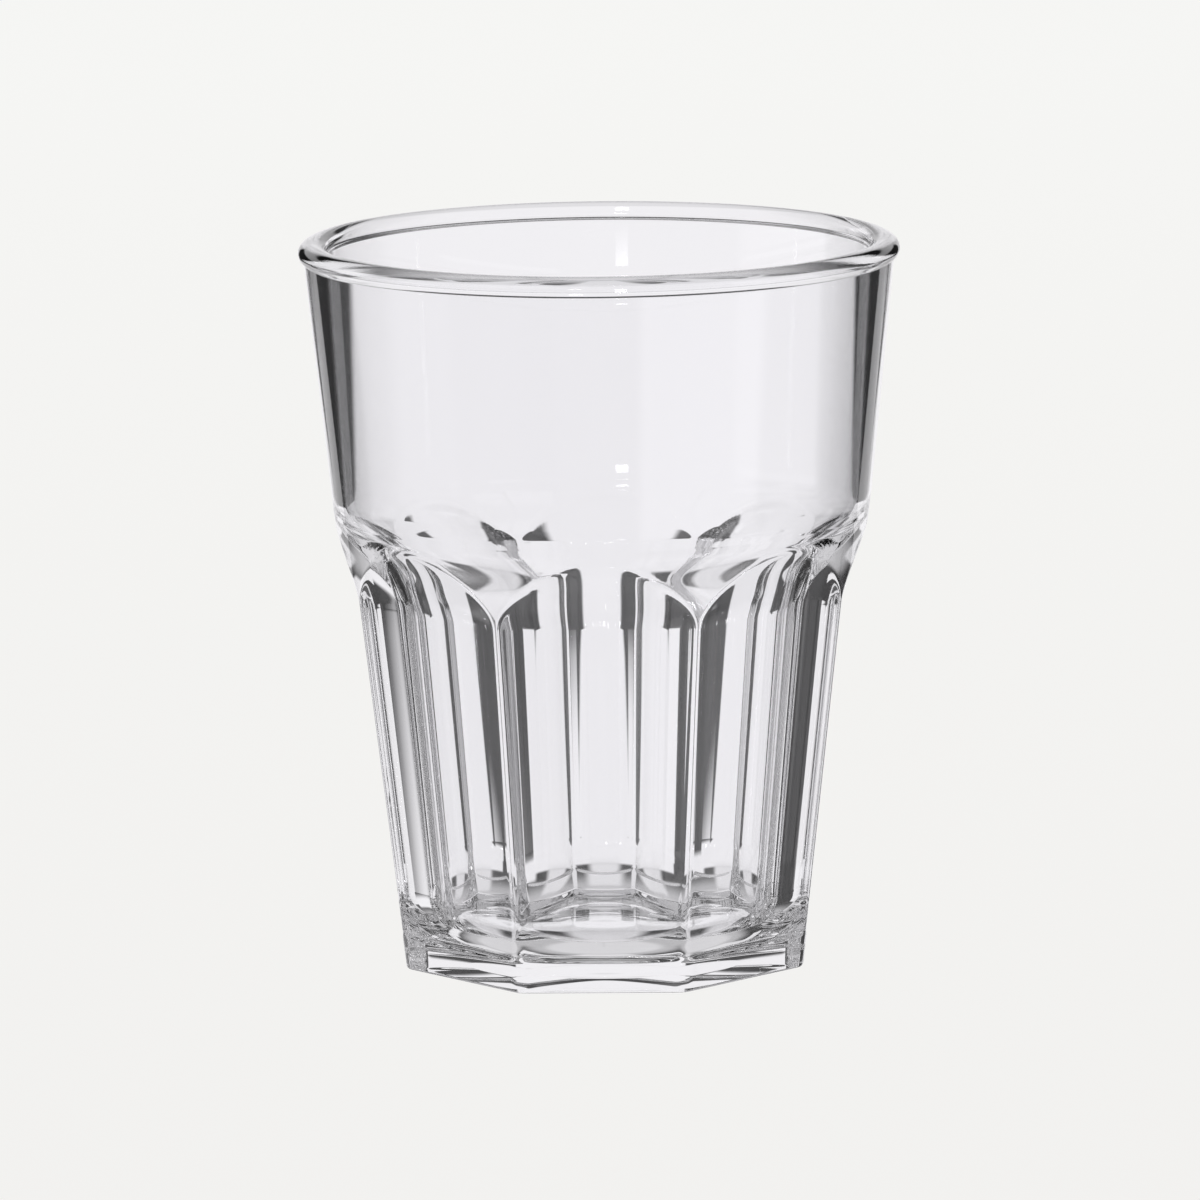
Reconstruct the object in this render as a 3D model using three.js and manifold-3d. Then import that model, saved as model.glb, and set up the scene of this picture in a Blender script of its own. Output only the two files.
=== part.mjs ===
// Fluted drinking tumbler, moulded in one piece from clear plastic.
// Millimetres, +Z up, the origin at the centre of the face it stands on.
import * as THREE from 'three';
import { mergeVertices } from 'three/addons/utils/BufferGeometryUtils.js';
import Module from 'manifold-3d';

// Whole tumbler
const HEIGHT = 109;
const RIM_DIAMETER = 90;
const SHOULDER_HEIGHT = 66.9;
const SHOULDER_DIAMETER = 80.5;
const BASE_DIAMETER = 64;

// Rim: a rounded bead, proud of the wall below it
const BEAD_HEIGHT = 3.4;
const BEAD_PROUD = 0.85;
const LIP_THICKNESS = 4.4;

// Walls and floor
const SHOULDER_WALL = 2.1;
const FLUTE_WALL = 1.2;
const FLOOR_THICKNESS = 4;
const FLOOR_ROUND = 8;

// Bend of the inside, from the plain upper wall to the narrower fluted wall
const BEND_TOP = 71;
const BEND_FOOT = 53.5;

// Shoulder: the plain upper wall stands a hair proud of the fluted cone
const SHOULDER_STEP = 0.4;
const SHOULDER_STEP_RISE = 0.4;

// Flutes: hollows that run out in arches below the shoulder, with a narrow land between two of them
const FLUTE_COUNT = 8;
const FLUTE_RADIUS = 90;
const LAND_WIDTH = 0.8;
const ARCH_DROP = 0.8;
const ARCH_HEIGHT = 10.4;
const ARCH_POWER = 1.45;

// Foot: flat faces below the flutes, a hollow ledge above them and a round edge at the bottom
const FOOT_HEIGHT = 4.7;
const FOOT_PROUD = 0.25;
const LEDGE_ROUND = 1.1;
const FOOT_EDGE_ROUND = 1;

// Underside: a standing ring round a shallow recess, with the mark of the moulding gate in its middle
const RING_WIDTH = 4;
const RECESS_DEPTH = 0.6;
const GATE_DIAMETER = 3.4;
const GATE_PROUD = 0.3;

// Facets
const TURN_SEGMENTS = 96;
const ARC_DIVISIONS = 4;
const FLUTE_COLUMNS = 8;
const FLUTE_LAYERS = 6;
const RUN_OUT_LAYERS = 12;
const TOOL_MARGIN = 2;

const COLOUR = 0xeeeef1;
const ROUGHNESS = 0.05;

const rimRadius = RIM_DIAMETER / 2;
const shoulderRadius = SHOULDER_DIAMETER / 2;
const baseRadius = BASE_DIAMETER / 2;
const beadCentre = HEIGHT - BEAD_HEIGHT / 2;
const lipCentre = rimRadius - LIP_THICKNESS / 2;
const rimWallRadius = rimRadius - BEAD_PROUD;
const halfPitch = Math.PI / FLUTE_COUNT;
const archTop = SHOULDER_HEIGHT - ARCH_DROP;
const archFoot = archTop - ARCH_HEIGHT;
const ledgeTop = FOOT_HEIGHT + LEDGE_ROUND;

// Radius of the fluted cone, which carries the lands and the spandrels between the arches.
function coneRadius(z) {
  const top = shoulderRadius - SHOULDER_STEP;
  return baseRadius + (top - baseRadius) * z / SHOULDER_HEIGHT;
}

// Depth that a flute's hollow section rises from its middle to a place y beside it.
function hollowRise(y) {
  return FLUTE_RADIUS - Math.sqrt(FLUTE_RADIUS ** 2 - y ** 2);
}

// Distance from the axis to the middle of a flute whose edges lie on the cone.
function fluteRadius(z) {
  const radius = coneRadius(z);
  const edge = halfPitch - LAND_WIDTH / 2 / radius;
  return radius * Math.cos(edge) - hollowRise(radius * Math.sin(edge));
}

// Distance from the axis to a flat face of the foot, round at its lower edge.
function footRadius(z) {
  const flat = coneRadius(Math.max(z, FOOT_EDGE_ROUND)) * Math.cos(halfPitch) + FOOT_PROUD;
  const below = Math.min(Math.max(FOOT_EDGE_ROUND - z, 0), FOOT_EDGE_ROUND);
  return flat - FOOT_EDGE_ROUND + Math.sqrt(FOOT_EDGE_ROUND ** 2 - below ** 2);
}

// How far the arched run-out has come out of the flute at a height. It meets the cone at the arch's top.
function runOut(z) {
  const depth = coneRadius(archTop) - fluteRadius(archTop);
  const climb = Math.max(z - archFoot, 0) / ARCH_HEIGHT;
  return depth * climb ** ARCH_POWER;
}

// How far the round ledge above the foot still stands out of the flute at a height.
function ledgeRise(z) {
  const below = Math.min(Math.max(ledgeTop - z, 0), LEDGE_ROUND);
  return LEDGE_ROUND - Math.sqrt(LEDGE_ROUND ** 2 - below ** 2);
}

function levels(from, to, count) {
  return Array.from({ length: count + 1 }, (_, i) => from + (to - from) * i / count);
}

// Half section of the blank, from the middle of the underside over the lip to the middle of the floor.
function blankProfile() {
  const gate = GATE_DIAMETER / 2;
  const ring = footRadius(0) - RING_WIDTH;
  const lipBelow = Math.acos((rimWallRadius - lipCentre) / (LIP_THICKNESS / 2));
  const innerRim = rimRadius - LIP_THICKNESS;
  const innerShoulder = shoulderRadius - SHOULDER_WALL;
  const innerUpperSlope = (innerRim - innerShoulder) / (beadCentre - SHOULDER_HEIGHT);
  const bendHigh = innerShoulder + innerUpperSlope * (BEND_TOP - SHOULDER_HEIGHT);
  const bendLow = fluteRadius(BEND_FOOT) - FLUTE_WALL;
  const cornerTop = FLOOR_THICKNESS + FLOOR_ROUND;
  const corner = fluteRadius(cornerTop) - FLUTE_WALL;
  const innerLowerSlope = (bendLow - corner) / (BEND_FOOT - cornerTop);
  const bend = (BEND_TOP - BEND_FOOT) / 2;
  const edgeCentre = coneRadius(FOOT_EDGE_ROUND) - FOOT_EDGE_ROUND;

  const path = new THREE.Path();
  path.moveTo(0, RECESS_DEPTH - GATE_PROUD);
  path.lineTo(gate, RECESS_DEPTH - GATE_PROUD);
  path.lineTo(gate + GATE_PROUD, RECESS_DEPTH);
  path.lineTo(ring - RECESS_DEPTH, RECESS_DEPTH);
  path.lineTo(ring, 0);
  path.absarc(edgeCentre, FOOT_EDGE_ROUND, FOOT_EDGE_ROUND, -Math.PI / 2, 0);
  path.lineTo(coneRadius(SHOULDER_HEIGHT), SHOULDER_HEIGHT);
  path.lineTo(shoulderRadius, SHOULDER_HEIGHT + SHOULDER_STEP_RISE);
  path.absellipse(lipCentre, beadCentre, LIP_THICKNESS / 2, BEAD_HEIGHT / 2, -lipBelow, Math.PI);
  path.lineTo(bendHigh, BEND_TOP);
  path.bezierCurveTo(
    bendHigh - innerUpperSlope * bend, BEND_TOP - bend,
    bendLow + innerLowerSlope * bend, BEND_FOOT + bend,
    bendLow, BEND_FOOT,
  );
  path.lineTo(corner, cornerTop);
  path.absarc(corner - FLOOR_ROUND, cornerTop, FLOOR_ROUND, 0, -Math.PI / 2, true);
  path.lineTo(0, FLOOR_THICKNESS);
  return path.getPoints(ARC_DIVISIONS);
}

// A cutting tool for one side: a bar whose inner face stands at face(y, z), layer by layer.
function sideTool(layers, columns, face) {
  const halfWidth = (shoulderRadius + TOOL_MARGIN) * Math.tan(halfPitch);
  const back = rimRadius + TOOL_MARGIN;
  const outline = new THREE.Shape();
  outline.moveTo(back, -halfWidth);
  outline.lineTo(back, halfWidth);
  for (const y of levels(halfWidth, -halfWidth, columns)) {
    outline.lineTo(0, y);
  }
  const steps = layers.length - 1;
  const bar = new THREE.ExtrudeGeometry(outline, { depth: steps, steps, bevelEnabled: false });
  const place = bar.getAttribute('position');
  for (let i = 0; i < place.count; i += 1) {
    const z = layers[Math.round(place.getZ(i))];
    place.setZ(i, z);
    if (place.getX(i) < back) {
      place.setX(i, face(place.getY(i), z));
    }
  }
  return bar;
}

function footTool() {
  const layers = [-TOOL_MARGIN, ...levels(0, FOOT_EDGE_ROUND, ARC_DIVISIONS), ledgeTop];
  return sideTool(layers, 1, (y, z) => footRadius(z));
}

function fluteTool() {
  const layers = [
    ...levels(FOOT_HEIGHT, ledgeTop, ARC_DIVISIONS),
    ...levels(ledgeTop, archFoot, FLUTE_LAYERS).slice(1),
    ...levels(archFoot, archTop + TOOL_MARGIN, RUN_OUT_LAYERS).slice(1),
  ];
  const middle = (z) => fluteRadius(z) + runOut(z) + ledgeRise(z);
  return sideTool(layers, FLUTE_COLUMNS, (y, z) => middle(z) + hollowRise(y));
}

const wasm = await Module();
wasm.setup();

function toSolid(geometry) {
  geometry.deleteAttribute('normal');
  geometry.deleteAttribute('uv');
  const merged = mergeVertices(geometry);
  return new wasm.Manifold(new wasm.Mesh({
    numProp: 3,
    vertProperties: merged.getAttribute('position').array,
    triVerts: Uint32Array.from(merged.getIndex().array),
  }));
}

function toGeometry(solid) {
  const mesh = solid.getMesh();
  const geometry = new THREE.BufferGeometry();
  geometry.setAttribute('position', new THREE.BufferAttribute(mesh.vertProperties, 3));
  geometry.setIndex(new THREE.BufferAttribute(mesh.triVerts, 1));
  geometry.computeVertexNormals();
  return geometry;
}

function tumblerBody() {
  const blank = new THREE.LatheGeometry(blankProfile(), TURN_SEGMENTS);
  let body = toSolid(blank.rotateX(Math.PI / 2));
  for (let side = 0; side < FLUTE_COUNT; side += 1) {
    const turn = side * 2 * halfPitch - Math.PI / 2;
    for (const tool of [footTool(), fluteTool()]) {
      body = body.subtract(toSolid(tool.rotateZ(turn)));
    }
  }
  const clearPlastic = new THREE.MeshStandardMaterial({ color: COLOUR, roughness: ROUGHNESS, metalness: 0 });
  const mesh = new THREE.Mesh(toGeometry(body), clearPlastic);
  mesh.name = 'tumbler_body';
  return mesh;
}

const tumbler = new THREE.Group();
tumbler.name = 'tumbler';
tumbler.add(tumblerBody());

export default tumbler;
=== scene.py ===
"""Looks of a clear moulded tumbler: its fine mesh, its polished plastic and the studio round it."""
import logging
import math
from collections.abc import Iterator
from dataclasses import dataclass
from enum import Enum

import bmesh
import bpy
from mathutils import Matrix, Vector


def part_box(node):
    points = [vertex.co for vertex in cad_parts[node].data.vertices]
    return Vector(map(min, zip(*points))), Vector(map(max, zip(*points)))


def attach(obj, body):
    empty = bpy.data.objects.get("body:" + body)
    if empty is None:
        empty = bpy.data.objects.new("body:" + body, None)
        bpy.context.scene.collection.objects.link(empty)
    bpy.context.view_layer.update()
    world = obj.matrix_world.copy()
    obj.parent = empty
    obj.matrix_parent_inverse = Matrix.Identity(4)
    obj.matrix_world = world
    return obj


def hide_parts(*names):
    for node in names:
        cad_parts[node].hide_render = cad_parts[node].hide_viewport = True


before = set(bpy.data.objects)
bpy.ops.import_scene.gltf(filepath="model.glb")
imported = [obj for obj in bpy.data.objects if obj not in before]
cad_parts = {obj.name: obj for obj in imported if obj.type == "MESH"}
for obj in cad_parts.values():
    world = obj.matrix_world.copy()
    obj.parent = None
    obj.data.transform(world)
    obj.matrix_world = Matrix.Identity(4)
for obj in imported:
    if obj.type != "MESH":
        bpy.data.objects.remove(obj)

LOG = logging.getLogger("tumbler")
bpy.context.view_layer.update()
MM = 0.001
# Distance within which the vertices of two neighbouring sides are merged
SEAM = 0.0005 * MM
# Width in millimetres of the narrow rows beside an edge, and the most that they take of a stretch
GUARD = 0.08
GUARD_SHARE = 0.1
RGBA = tuple[float, float, float, float]
Row = tuple[float, float]
Socket = bpy.types.NodeSocket


def smooth_min(a: float, b: float, reach: float) -> float:
    """Lesser of two values, rounded where they come within reach of each other.

    Args:
        a: First value.
        b: Second value.
        reach: Difference at which the rounding starts.

    Returns:
        The rounded lesser value.
    """
    overlap = max(reach - abs(a - b), 0.0) / reach
    return min(a, b) - overlap * overlap * reach / 4


def spread(start: float, end: float, count: int) -> Iterator[float]:
    """Even steps from just after start up to end.

    Args:
        start: Value before the first step.
        end: Last value.
        count: How many steps.

    Returns:
        The values, one for each step.
    """
    return (start + (end - start) * i / count for i in range(1, count + 1))


def crisp(start: Row, end: Row, count: int) -> Iterator[Row]:
    """Rows on a straight stretch of the section, with a narrow one at each end for crisp edges.

    Args:
        start: Radius and height before the first row.
        end: Radius and height of the last row.
        count: How many rows lie between the narrow ones.

    Returns:
        The rows, as radius and height.
    """
    guard = min(GUARD_SHARE, GUARD / math.dist(start, end))
    for step in (guard, *spread(guard, 1.0 - guard, count), 1.0):
        yield start[0] + (end[0] - start[0]) * step, start[1] + (end[1] - start[1]) * step


def arc(centre: Row, radii: Row, first: float, last: float, count: int) -> Iterator[Row]:
    """Rows on an elliptical arc of the section, without its first point.

    Args:
        centre: Radius and height of the ellipse's centre.
        radii: Half width and half height of the ellipse.
        first: Angle in degrees where the arc starts.
        last: Angle in degrees where it ends.
        count: How many rows.

    Returns:
        The rows, as radius and height.
    """
    for angle in spread(math.radians(first), math.radians(last), count):
        yield centre[0] + radii[0] * math.cos(angle), centre[1] + radii[1] * math.sin(angle)


@dataclass(frozen=True)
class ClearPlastic:
    """Polished clear polycarbonate, with faint flow marks from moulding."""

    tint: RGBA = (0.995, 0.993, 1.0, 1.0)
    flow_tint: RGBA = (0.985, 0.985, 0.995, 1.0)
    index: float = 1.585
    polish: float = 0.0
    scuff: float = 0.012
    flow_scale: float = 60.0
    flow_stretch: float = 0.15
    flow_detail: float = 2.0
    scuff_scale: float = 900.0
    scuff_detail: float = 3.0
    scuff_start: float = 0.55
    scuff_full: float = 0.8
    ripple: float = 0.015
    ripple_depth: float = 0.2 * MM

    def material(self) -> bpy.types.Material:
        """Builds the node material.

        Returns:
            The finished material.
        """
        made = bpy.data.materials.new("clear_plastic")
        made.use_nodes = True
        nodes = made.node_tree.nodes
        link = made.node_tree.links.new
        shader = nodes["Principled BSDF"]
        shader.inputs["IOR"].default_value = self.index
        shader.inputs["Transmission Weight"].default_value = 1.0

        place = nodes.new("ShaderNodeTexCoord")
        stretch = nodes.new("ShaderNodeMapping")
        stretch.inputs["Scale"].default_value = (1.0, 1.0, self.flow_stretch)
        link(place.outputs["Object"], stretch.inputs["Vector"])

        flow = nodes.new("ShaderNodeTexNoise")
        flow.inputs["Scale"].default_value = self.flow_scale
        flow.inputs["Detail"].default_value = self.flow_detail
        link(stretch.outputs["Vector"], flow.inputs["Vector"])
        colour = nodes.new("ShaderNodeMix")
        colour.data_type = "RGBA"
        colour.inputs["A"].default_value = self.tint
        colour.inputs["B"].default_value = self.flow_tint
        link(flow.outputs["Fac"], colour.inputs["Factor"])
        link(colour.outputs["Result"], shader.inputs["Base Color"])

        scuffs = nodes.new("ShaderNodeTexNoise")
        scuffs.inputs["Scale"].default_value = self.scuff_scale
        scuffs.inputs["Detail"].default_value = self.scuff_detail
        link(place.outputs["Object"], scuffs.inputs["Vector"])
        haze = nodes.new("ShaderNodeMapRange")
        haze.inputs["From Min"].default_value = self.scuff_start
        haze.inputs["From Max"].default_value = self.scuff_full
        haze.inputs["To Min"].default_value = self.polish
        haze.inputs["To Max"].default_value = self.scuff
        link(scuffs.outputs["Fac"], haze.inputs["Value"])
        link(haze.outputs["Result"], shader.inputs["Roughness"])

        bump = nodes.new("ShaderNodeBump")
        bump.inputs["Strength"].default_value = self.ripple
        bump.inputs["Distance"].default_value = self.ripple_depth
        link(flow.outputs["Fac"], bump.inputs["Height"])
        link(bump.outputs["Normal"], shader.inputs["Normal"])
        return made


@dataclass(frozen=True)
class PaleFloor:
    """Matt off-white sheet that the tumbler stands on, with painted shade: darker at the front and lighter
    further back, a painted falloff of light. Ends in metres.
    """

    # Painted shade: the two ends of a painted falloff of light, darker at the front and lighter at the
    # back
    shaded_near: RGBA = (0.885, 0.877, 0.862, 1.0)
    far: RGBA = (0.918, 0.918, 0.902, 1.0)
    near_end: float = -0.4
    far_end: float = 1.2

    def material(self) -> bpy.types.Material:
        """Builds the node material.

        Returns:
            The finished material.
        """
        made = bpy.data.materials.new("pale_floor")
        made.use_nodes = True
        nodes = made.node_tree.nodes
        link = made.node_tree.links.new
        shader = nodes["Principled BSDF"]
        shader.inputs["Roughness"].default_value = 1.0
        shader.inputs["Specular IOR Level"].default_value = 0.0
        place = nodes.new("ShaderNodeTexCoord")
        split = nodes.new("ShaderNodeSeparateXYZ")
        link(place.outputs["Object"], split.inputs["Vector"])
        # Painted falloff of light: the colour goes from the darker front shade to the lighter back along Y
        depth = nodes.new("ShaderNodeMapRange")
        depth.inputs["From Min"].default_value = self.near_end
        depth.inputs["From Max"].default_value = self.far_end
        link(split.outputs["Y"], depth.inputs["Value"])
        colour = nodes.new("ShaderNodeMix")
        colour.data_type = "RGBA"
        colour.inputs["A"].default_value = self.shaded_near
        colour.inputs["B"].default_value = self.far
        link(depth.outputs["Result"], colour.inputs["Factor"])
        link(colour.outputs["Result"], shader.inputs["Base Color"])
        return made


@dataclass(frozen=True)
class RowCounts:
    """How finely each stretch of the tumbler's section is divided."""

    gate: int = 3
    recess: int = 4
    recess_slope: int = 5
    ring: int = 4
    foot_edge: int = 8
    foot_face: int = 6
    ledge: int = 22
    over_ledge: int = 5
    flute: int = 12
    arch: int = 40
    arch_crown: int = 14
    shoulder_step: int = 2
    wall: int = 5
    lip: int = 30
    bend: int = 20
    lower_wall: int = 6
    floor_round: int = 12
    floor: int = 8


@dataclass
class TumblerBody:
    """The tumbler, one moulding: rim, upper wall, arched flutes, foot and floor. Sizes in millimetres.

    A flute's arch climbs by arch_power, softened over arch_blend of its height. Edges are rounded within
    edge_reach, and crowding draws the columns of the mesh towards the lands between the flutes.
    """

    height: float
    rim_radius: float
    shoulder_height: float = 66.9
    shoulder_radius: float = 40.25
    base_radius: float = 32.0
    bead_height: float = 3.4
    bead_proud: float = 0.85
    lip_thickness: float = 4.4
    shoulder_wall: float = 2.1
    shoulder_step: float = 0.2
    shoulder_step_rise: float = 1.2
    bend_top: float = 71.0
    bend_foot: float = 56.0
    flute_wall: float = 1.2
    floor_thickness: float = 4.0
    floor_round: float = 8.0
    flute_count: int = 8
    flute_radius: float = 90.0
    land_width: float = 0.8
    arch_drop: float = 0.8
    arch_height: float = 10.4
    arch_power: float = 1.1
    arch_blend: float = 0.3
    foot_height: float = 4.7
    foot_proud: float = 0.25
    foot_corner_round: float = 2.6
    foot_edge_round: float = 0.5
    ledge_round: float = 1.1
    ring_width: float = 4.0
    recess_depth: float = 0.6
    recess_radius: float = 12.0
    gate_radius: float = 1.7
    gate_proud: float = 0.1
    gate_slope: float = 0.8
    edge_reach: float = 0.3
    ledge_under: float = 0.4
    ledge_over: float = 0.2
    ledge_calm: float = 2.0
    crown_height: float = 1.5
    columns: int = 56
    crowding: float = 0.6
    rows: RowCounts = RowCounts()

    def __post_init__(self) -> None:
        """Works out the sizes that follow from the fields."""
        self.half_pitch = math.pi / self.flute_count
        self.arch_top = self.shoulder_height - self.arch_drop
        self.arch_foot = self.arch_top - self.arch_height
        self.ledge_top = self.foot_height + self.ledge_round
        self.bead_centre = self.height - self.bead_height / 2
        self.flute_depth = self.cone(self.arch_top) - self.flute_middle(self.arch_top)

    def cone(self, z: float) -> float:
        """Radius of the cone that carries the lands and spandrels, at height z."""
        top = self.shoulder_radius - self.shoulder_step
        return self.base_radius + (top - self.base_radius) * z / self.shoulder_height

    def hollow_rise(self, y: float) -> float:
        """Rise of a flute's hollow section at a distance y beside its middle."""
        return self.flute_radius - math.sqrt(self.flute_radius**2 - y**2)

    def flute_middle(self, z: float) -> float:
        """Distance from the axis to a flute's middle, its edges on the cone.

        Args:
            z: Height.

        Returns:
            The distance.
        """
        radius = self.cone(z)
        edge = self.half_pitch - self.land_width / 2 / radius
        return radius * math.cos(edge) - self.hollow_rise(radius * math.sin(edge))

    def run_out(self, z: float) -> float:
        """How far the arched run-out has come out of the flute.

        Args:
            z: Height.

        Returns:
            The depth that it takes from the flute.
        """
        climb = max(z - self.arch_foot, 0.0) / self.arch_height
        soft = math.hypot(climb, self.arch_blend) - self.arch_blend
        whole = math.hypot(1.0, self.arch_blend) - self.arch_blend
        return self.flute_depth * (soft / whole) ** self.arch_power

    def ledge_rise(self, z: float) -> float:
        """How far the round ledge over the foot stands out of the flute at height z."""
        below = min(max(self.ledge_top - z, 0.0), self.ledge_round)
        return self.ledge_round - math.sqrt(self.ledge_round**2 - below**2)

    def flute(self, angle: float, z: float) -> float:
        """Radius of the flute's face.

        Args:
            angle: Angle from the flute's middle, in radians.
            z: Height.

        Returns:
            Distance from the axis.
        """
        middle = self.flute_middle(z) + self.run_out(z) + self.ledge_rise(z)
        centre = middle + self.flute_radius
        across = centre * math.sin(angle)
        return centre * math.cos(angle) - math.sqrt(self.flute_radius**2 - across**2)

    def foot(self, angle: float, z: float) -> float:
        """Radius of the faceted foot, round at its corners and lower edge.

        Args:
            angle: Angle from the facet's middle, in radians.
            z: Height.

        Returns:
            Distance from the axis.
        """
        below = min(max(self.foot_edge_round - z, 0.0), self.foot_edge_round)
        tuck = self.foot_edge_round - math.sqrt(self.foot_edge_round**2 - below**2)
        flat = self.cone(max(z, self.foot_edge_round)) * math.cos(self.half_pitch) + self.foot_proud - tuck
        corner = (flat - self.foot_corner_round) / math.cos(self.half_pitch)
        if abs(math.tan(angle)) * flat <= corner * math.sin(self.half_pitch):
            return flat / math.cos(angle)
        beside = self.half_pitch - abs(angle)
        reach = math.sqrt(self.foot_corner_round**2 - (corner * math.sin(beside)) ** 2)
        return corner * math.cos(beside) + reach

    def outer_radius(self, turn: float, z: float) -> float:
        """Radius of the outside below the shoulder.

        Args:
            turn: Angle round the axis, in radians, from the middle of a flute.
            z: Height.

        Returns:
            Distance from the axis.
        """
        pitch = 2 * self.half_pitch
        angle = (turn + self.half_pitch) % pitch - self.half_pitch
        wall = smooth_min(self.cone(z), self.flute(angle, z), self.edge_reach)
        if z > self.ledge_top + self.ledge_round:
            return wall
        lift = max(z - self.ledge_top, 0.0)
        return smooth_min(wall, self.foot(angle, z) + lift, self.edge_reach)

    def outside_rows(self) -> Iterator[Row]:
        """Rows of the section from the middle of the underside up to the inner edge of the lip.

        Returns:
            The rows, as radius and height.
        """
        facet = self.foot(0.0, 0.0)
        ring = facet - self.ring_width
        yield 0.0, self.recess_depth - self.gate_proud
        for r in spread(0.0, self.gate_radius, self.rows.gate):
            yield r, self.recess_depth - self.gate_proud
        for r in spread(self.gate_radius + self.gate_slope, self.recess_radius, self.rows.recess):
            yield r, self.recess_depth
        yield from crisp((self.recess_radius, self.recess_depth), (ring, 0.0), self.rows.recess_slope)
        corner = self.cone(self.foot_edge_round) - self.foot_edge_round
        for r in spread(ring, corner, self.rows.ring):
            yield r, 0.0
        edge = self.foot_edge_round
        yield from arc((corner, edge), (edge, edge), -90.0, 0.0, self.rows.foot_edge)
        stops = (
            (self.foot_height - self.ledge_under, self.rows.foot_face),
            (self.ledge_top + self.ledge_over, self.rows.ledge),
            (self.ledge_top + self.ledge_calm, self.rows.over_ledge),
            (self.arch_foot, self.rows.flute),
            (self.arch_top - self.crown_height, self.rows.arch),
            (self.shoulder_height, self.rows.arch_crown),
        )
        start = edge
        for end, count in stops:
            for z in spread(start, end, count):
                yield self.cone(z), z
            start = end
        top = self.shoulder_height + self.shoulder_step_rise
        foot_of_step = (self.cone(self.shoulder_height), self.shoulder_height)
        yield from crisp(foot_of_step, (self.shoulder_radius, top), self.rows.shoulder_step)
        lip = self.lip_thickness / 2
        wall = self.rim_radius - self.bead_proud
        lip_centre = self.rim_radius - lip
        below = math.degrees(math.acos((wall - lip_centre) / lip))
        bead_foot = self.bead_centre - self.bead_height / 2 * math.sin(math.radians(below))
        yield from crisp((self.shoulder_radius, top), (wall, bead_foot), self.rows.wall)
        bead = (lip, self.bead_height / 2)
        yield from arc((lip_centre, self.bead_centre), bead, -below, 180.0, self.rows.lip)

    def inside_rows(self) -> Iterator[Row]:
        """Rows of the section from the inner edge of the lip down to the middle of the floor.

        Returns:
            The rows, as radius and height.
        """
        rim = self.rim_radius - self.lip_thickness
        shoulder = self.shoulder_radius - self.shoulder_wall
        upper_slope = (rim - shoulder) / (self.bead_centre - self.shoulder_height)
        high = shoulder + upper_slope * (self.bend_top - self.shoulder_height)
        low = self.flute_middle(self.bend_foot) - self.flute_wall
        corner_top = self.floor_thickness + self.floor_round
        corner = self.flute_middle(corner_top) - self.flute_wall
        lower_slope = (low - corner) / (self.bend_foot - corner_top)
        yield from crisp((rim, self.bead_centre), (high, self.bend_top), self.rows.wall)
        bend = (self.bend_top - self.bend_foot) / 2
        middle = self.bend_foot + bend
        radii = (high, high - upper_slope * bend, low + lower_slope * bend, low)
        heights = (self.bend_top, middle, middle, self.bend_foot)
        for step in spread(0.0, 1.0, self.rows.bend):
            rest = 1.0 - step
            weights = (rest**3, 3 * rest**2 * step, 3 * rest * step**2, step**3)
            yield tuple(sum(w * h for w, h in zip(weights, side)) for side in (radii, heights))
        yield from crisp((low, self.bend_foot), (corner, corner_top), self.rows.lower_wall)
        centre = (corner - self.floor_round, corner_top)
        yield from arc(centre, (self.floor_round, self.floor_round), 0.0, -90.0, self.rows.floor_round)
        for r in spread(centre[0], 0.0, self.rows.floor):
            yield r, self.floor_thickness

    def blank(self, z: float) -> float:
        """Radius of the outside before the flutes and facets are shaped.

        Args:
            z: Height.

        Returns:
            Distance from the axis.
        """
        edge = self.foot_edge_round
        below = max(edge - z, 0.0)
        return self.cone(max(z, edge)) - edge + math.sqrt(edge**2 - below**2)

    def place(self, vert: bmesh.types.BMVert, share: float) -> None:
        """Moves one vertex of the turned section to its place on the moulded surface.

        Args:
            vert: The vertex.
            share: How far it follows the flutes and facets, from 0 to 1.
        """
        step = 2 * self.half_pitch / self.columns
        turn = round(math.atan2(vert.co.y, vert.co.x) / step) * step
        turn += self.crowding / self.flute_count * math.sin(turn * self.flute_count)
        radius = math.hypot(vert.co.x, vert.co.y)
        if share:
            z = vert.co.z / MM
            radius += share * (self.outer_radius(turn, z) - self.blank(z)) * MM
        vert.co.x = radius * math.cos(turn)
        vert.co.y = radius * math.sin(turn)

    def follow(self, row: Row) -> float:
        """Share of the flutes and facets that an outside row follows.

        Args:
            row: Radius and height of the row.

        Returns:
            0 inside the standing ring and above the shoulder, rising over the ring to 1 on the wall.
        """
        radius, z = row
        if z > self.shoulder_height:
            return 0.0
        if z > 0.0 and radius > self.foot(0.0, 0.0):
            return 1.0
        ring = self.foot(0.0, 0.0) - self.ring_width
        return max(radius - ring, 0.0) / (self.blank(0.0) - ring)

    def shape_side(self, bm: bmesh.types.BMesh) -> None:
        """Turns the section through one flute's pitch and shapes the flute and its facet of the foot.

        Args:
            bm: The empty mesh to fill.
        """
        share = bm.verts.layers.float.new("share")
        section = []
        for row in self.outside_rows():
            section.append(bm.verts.new((row[0] * MM, 0.0, row[1] * MM)))
            section[-1][share] = self.follow(row)
        for radius, z in self.inside_rows():
            section.append(bm.verts.new((radius * MM, 0.0, z * MM)))
        edges = [bm.edges.new(pair) for pair in zip(section, section[1:])]
        start = Matrix.Rotation(-self.half_pitch, 3, "Z")
        bmesh.ops.rotate(bm, verts=section, cent=(0, 0, 0), matrix=start)
        bmesh.ops.spin(
            bm, geom=section + edges, axis=(0, 0, 1), cent=(0, 0, 0),
            angle=2 * self.half_pitch, steps=self.columns,
        )
        for vert in bm.verts:
            self.place(vert, vert[share])

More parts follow.
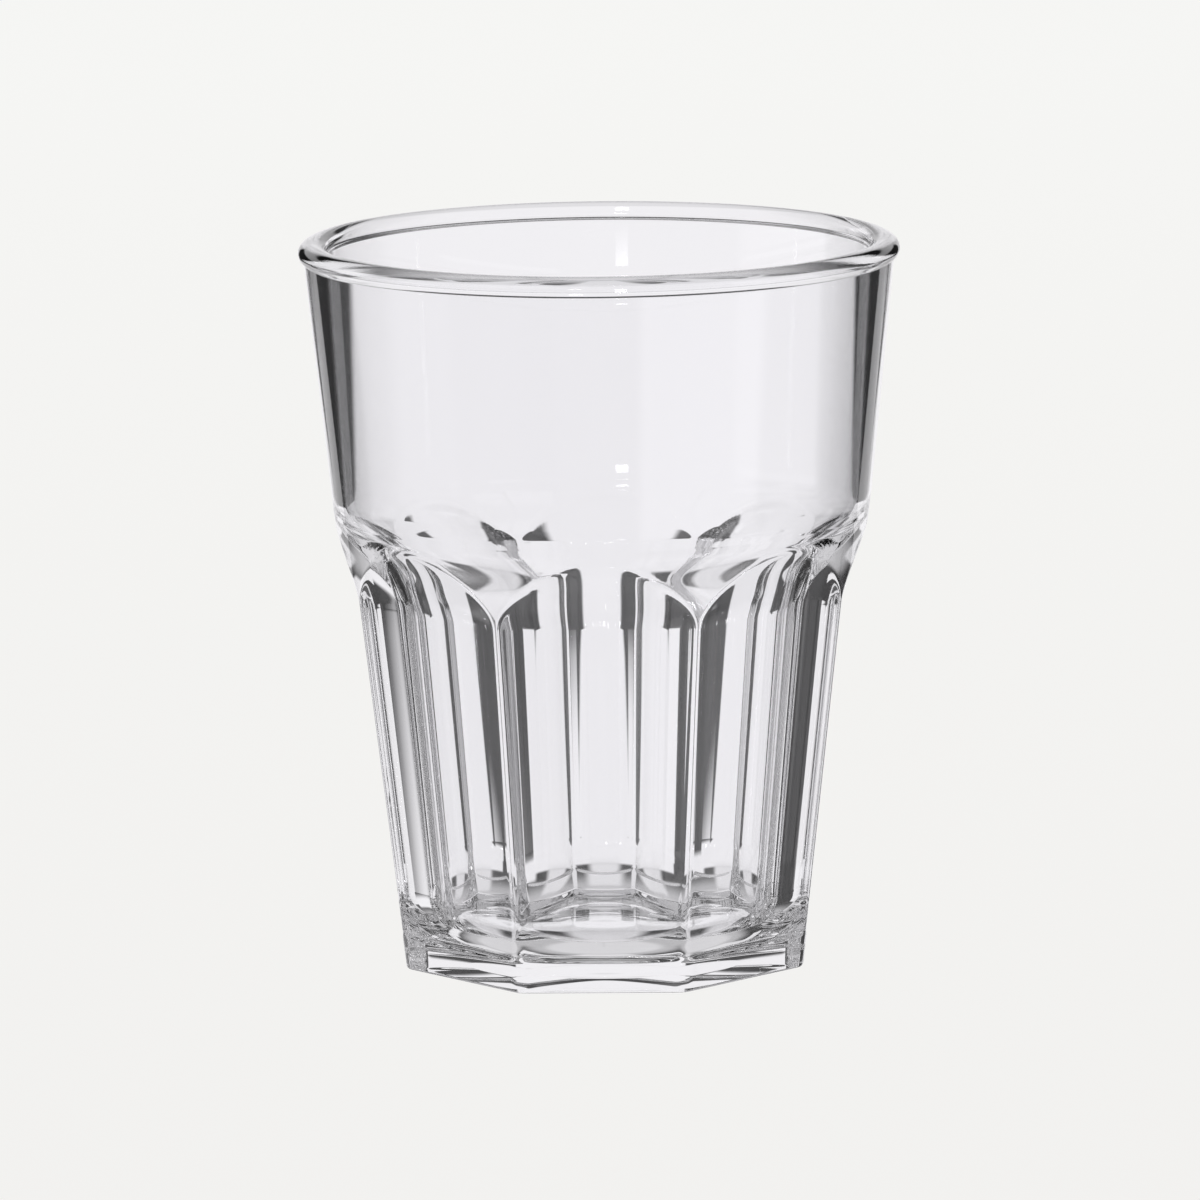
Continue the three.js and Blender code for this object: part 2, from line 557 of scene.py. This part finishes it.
    def build(self) -> bpy.types.Object:
        """Shapes one side, repeats it all round and closes the mesh.

        Returns:
            The tumbler's object, without a material.
        """
        bm = bmesh.new()
        self.shape_side(bm)
        side = [*bm.verts, *bm.edges, *bm.faces]
        for number in range(1, self.flute_count):
            copy = bmesh.ops.duplicate(bm, geom=side)["geom"]
            verts = [item for item in copy if isinstance(item, bmesh.types.BMVert)]
            turn = Matrix.Rotation(2 * self.half_pitch * number, 3, "Z")
            bmesh.ops.rotate(bm, verts=verts, cent=(0, 0, 0), matrix=turn)
        bmesh.ops.remove_doubles(bm, verts=bm.verts, dist=SEAM)
        bmesh.ops.recalc_face_normals(bm, faces=bm.faces)
        for face in bm.faces:
            face.smooth = True
        mesh = bpy.data.meshes.new("tumbler")
        bm.to_mesh(mesh)
        bm.free()
        made = bpy.data.objects.new("tumbler", mesh)
        bpy.context.collection.objects.link(made)
        return made

    def dress(self, piece: bpy.types.Object, finish: ClearPlastic) -> None:
        """Gives the piece its finish and its place in the frame.

        Args:
            piece: The tumbler's object.
            finish: Its finish.
        """
        piece.data.materials.append(finish.material())
        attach(piece, "root")
        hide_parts("tumbler_body")
        piece.visible_diffuse = False


class Maths(Enum):
    """Operations of the maths nodes."""

    ARCTAN2 = "ARCTAN2"
    ARCSINE = "ARCSINE"
    ABSOLUTE = "ABSOLUTE"
    ADD = "ADD"
    SUBTRACT = "SUBTRACT"
    MULTIPLY = "MULTIPLY"


@dataclass(frozen=True)
class Card:
    """A soft-edged white or black card of the studio, placed by direction. Angles in degrees.

    The azimuth runs from +Y towards +X. A card with a flare widens downwards, by that many degrees on each
    side for each degree of height.
    """

    azimuth: float
    elevation: float
    half_width: float
    half_height: float
    edge: float
    light: float
    flare: float = 0.0


@dataclass
class Surroundings:
    """The studio round the tumbler: cards in a mid-grey room for the plastic, even light for the floor."""

    even: RGBA = (1.0, 1.0, 1.0, 1.0)
    backdrop: RGBA = (0.918, 0.918, 0.902, 1.0)
    tint: RGBA = (1.0, 0.99, 1.01, 1.0)
    room: float = 0.5
    dark_wall: Card = Card(0.0, 5.0, 70.0, 45.0, 20.0, 0.03)
    table: Card = Card(0.0, -75.0, 180.0, 20.0, 10.0, 0.7)
    high_panel: Card = Card(0.0, 14.0, 42.0, 5.0, 3.0, 0.92)
    middle_panel: Card = Card(0.0, 0.0, 14.6, 9.5, 2.5, 0.93)
    low_panel: Card = Card(0.0, -19.6, 33.0, 7.3, 2.5, 0.93)
    left_wing: Card = Card(-28.0, -14.5, 6.5, 4.3, 1.2, 0.93)
    right_wing: Card = Card(28.0, -14.5, 6.5, 4.3, 1.2, 0.93)
    flared_panel: Card = Card(0.0, -10.5, 19.25, 3.5, 2.5, 0.93, 4.5)
    near_sheet: Card = Card(0.0, -38.0, 14.0, 13.0, 8.0, 0.8)
    left_panel: Card = Card(-90.0, -3.0, 27.0, 8.0, 6.0, 0.95)
    front_panel: Card = Card(135.0, -15.0, 27.0, 8.0, 6.0, 0.95)
    back_panel: Card = Card(-48.0, -24.0, 17.0, 9.0, 6.0, 0.95)
    lamp: Card = Card(-172.0, 5.0, 2.5, 1.6, 1.0, 15.0)

    def cards(self) -> tuple[Card, ...]:
        """All cards, each to be laid over the ones before it.

        Returns:
            The cards in that order.
        """
        backing = (self.dark_wall, self.table)
        behind = (self.high_panel, self.middle_panel, self.low_panel, self.left_wing, self.right_wing)
        below = (self.flared_panel, self.near_sheet)
        around = (self.left_panel, self.front_panel, self.back_panel, self.lamp)
        return backing + behind + below + around

    def build(self) -> bpy.types.World:
        """Builds the world.

        Returns:
            The world, with its nodes.
        """
        world = bpy.data.worlds.new("studio")
        world.use_nodes = True
        world.cycles.sampling_method = "NONE"
        self.tree = world.node_tree
        self.tree.nodes.clear()
        place = self.tree.nodes.new("ShaderNodeTexCoord")
        split = self.tree.nodes.new("ShaderNodeSeparateXYZ")
        self.tree.links.new(place.outputs["Generated"], split.inputs["Vector"])
        self.azimuth = self.maths(Maths.ARCTAN2, split.outputs["X"], split.outputs["Y"])
        self.elevation = self.maths(Maths.ARCSINE, split.outputs["Z"])
        self.join(self.pattern())
        return world

    def pattern(self) -> Socket:
        """Lays the cards over the room.

        Returns:
            A socket with the light from the ray's direction.
        """
        light = None
        for card in self.cards():
            over = self.tree.nodes.new("ShaderNodeMix")
            over.inputs["A"].default_value = self.room
            over.inputs["B"].default_value = card.light
            if light is not None:
                self.tree.links.new(light, over.inputs["A"])
            self.tree.links.new(self.cover(card), over.inputs["Factor"])
            light = over.outputs["Result"]
        return light

    def cover(self, card: Card) -> Socket:
        """Adds the nodes that tell how far a card covers the ray's direction.

        Args:
            card: The card.

        Returns:
            A socket that is 1 on the card and 0 beside it.
        """
        beside = self.maths(Maths.SUBTRACT, self.azimuth, math.radians(card.azimuth))
        upward = self.maths(Maths.SUBTRACT, self.elevation, math.radians(card.elevation))
        flared = self.maths(Maths.MULTIPLY, upward, card.flare)
        across = self.maths(Maths.ADD, flared, self.maths(Maths.ABSOLUTE, beside))
        wide = self.within(across, card.half_width, card.edge)
        high = self.within(self.maths(Maths.ABSOLUTE, upward), card.half_height, card.edge)
        return self.maths(Maths.MULTIPLY, wide, high)

    def maths(self, kind: Maths, first: Socket, second: Socket | float = 0.0) -> Socket:
        """Adds a maths node.

        Args:
            kind: The operation.
            first: First operand.
            second: Second operand, another socket or a number.

        Returns:
            The node's output.
        """
        node = self.tree.nodes.new("ShaderNodeMath")
        node.operation = kind.value
        self.tree.links.new(first, node.inputs[0])
        if isinstance(second, Socket):
            self.tree.links.new(second, node.inputs[1])
        else:
            node.inputs[1].default_value = second
        return node.outputs["Value"]

    def within(self, off: Socket, half: float, edge: float) -> Socket:
        """Adds the node that tells whether an angle lies within a span, with a smooth step at its end.

        Args:
            off: The angle from the middle of the span, in radians.
            half: Half the span, in degrees.
            edge: Width of the soft edge, in degrees.

        Returns:
            A socket that is 1 inside the span and 0 outside.
        """
        node = self.tree.nodes.new("ShaderNodeMapRange")
        node.interpolation_type = "SMOOTHSTEP"
        node.inputs["From Min"].default_value = math.radians(half - edge / 2)
        node.inputs["From Max"].default_value = math.radians(half + edge / 2)
        node.inputs["To Min"].default_value = 1.0
        node.inputs["To Max"].default_value = 0.0
        self.tree.links.new(off, node.inputs["Value"])
        return node.outputs["Result"]

    def join(self, light: Socket) -> None:
        """Shows the cards to the plastic, even light to the floor and a plain backdrop to the camera.

        Args:
            light: The light of the room and its cards.
        """
        nodes = self.tree.nodes
        link = self.tree.links.new
        path = nodes.new("ShaderNodeLightPath")
        pattern = nodes.new("ShaderNodeBackground")
        pattern.inputs["Color"].default_value = self.tint
        link(light, pattern.inputs["Strength"])
        even = nodes.new("ShaderNodeBackground")
        even.inputs["Color"].default_value = self.even
        backdrop = nodes.new("ShaderNodeBackground")
        backdrop.inputs["Color"].default_value = self.backdrop
        lit = nodes.new("ShaderNodeMixShader")
        link(path.outputs["Is Diffuse Ray"], lit.inputs["Fac"])
        link(pattern.outputs["Background"], lit.inputs[1])
        link(even.outputs["Background"], lit.inputs[2])
        seen = nodes.new("ShaderNodeMixShader")
        link(path.outputs["Is Camera Ray"], seen.inputs["Fac"])
        link(lit.outputs["Shader"], seen.inputs[1])
        link(backdrop.outputs["Background"], seen.inputs[2])
        out = nodes.new("ShaderNodeOutputWorld")
        link(seen.outputs["Shader"], out.inputs["Surface"])


@dataclass
class Studio:
    """Pale floor, surroundings and camera. Sizes in millimetres, angles in degrees."""

    aim_across: float = -0.4
    aim_height: float = 54.0
    distance: float = 1280.0
    elevation: float = 10.0
    azimuth: float = 1.4
    roll: float = -0.62
    lens: float = 255.0
    sensor: float = 36.0
    floor_half: float = 3000.0
    floor_parts: int = 4
    bounces: int = 32
    mirror_bounces: int = 16

    def floor(self, finish: PaleFloor) -> None:
        """Lays the floor sheet under the tumbler.

        Args:
            finish: The sheet's finish.
        """
        bm = bmesh.new()
        parts = self.floor_parts
        bmesh.ops.create_grid(bm, x_segments=parts, y_segments=parts, size=self.floor_half * MM)
        mesh = bpy.data.meshes.new("floor")
        bm.to_mesh(mesh)
        bm.free()
        sheet = bpy.data.objects.new("floor", mesh)
        bpy.context.collection.objects.link(sheet)
        sheet.data.materials.append(finish.material())
        sheet.visible_transmission = False
        sheet.visible_glossy = False

    def camera(self) -> None:
        """Sets up the camera at the photograph's angle."""
        data = bpy.data.cameras.new("camera")
        data.lens = self.lens
        data.sensor_width = self.sensor
        camera = bpy.data.objects.new("camera", data)
        bpy.context.collection.objects.link(camera)
        turn = math.radians(self.azimuth)
        lift = math.radians(self.elevation)
        back = Vector((math.sin(turn) * math.cos(lift), -math.cos(turn) * math.cos(lift), math.sin(lift)))
        aim = Vector((self.aim_across, 0, self.aim_height)) * MM
        camera.location = aim + back * self.distance * MM
        facing = (-back).to_track_quat("-Z", "Y").to_matrix().to_4x4()
        tilt = facing @ Matrix.Rotation(math.radians(self.roll), 4, "Z")
        camera.rotation_euler = tilt.to_euler()
        bpy.context.scene.camera = camera

    def light(self, surroundings: Surroundings) -> None:
        """Puts the surroundings round the tumbler and sets how far light is followed through it.

        Args:
            surroundings: The studio's cards and backdrop.
        """
        scene = bpy.context.scene
        scene.world = surroundings.build()
        scene.view_settings.view_transform = "Standard"
        scene.cycles.max_bounces = self.bounces
        scene.cycles.transmission_bounces = self.bounces
        scene.cycles.glossy_bounces = self.mirror_bounces
        scene.cycles.use_denoising = True


def main() -> None:
    """Builds the tumbler and its studio."""
    logging.basicConfig(level=logging.INFO)
    _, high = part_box("tumbler_body")
    body = TumblerBody(height=high[2] / MM, rim_radius=high[0] / MM)
    piece = body.build()
    body.dress(piece, ClearPlastic())
    LOG.info("tumbler: %d faces", len(piece.data.polygons))
    studio = Studio()
    studio.floor(PaleFloor())
    studio.light(Surroundings())
    studio.camera()


if __name__ == "__main__":
    main()
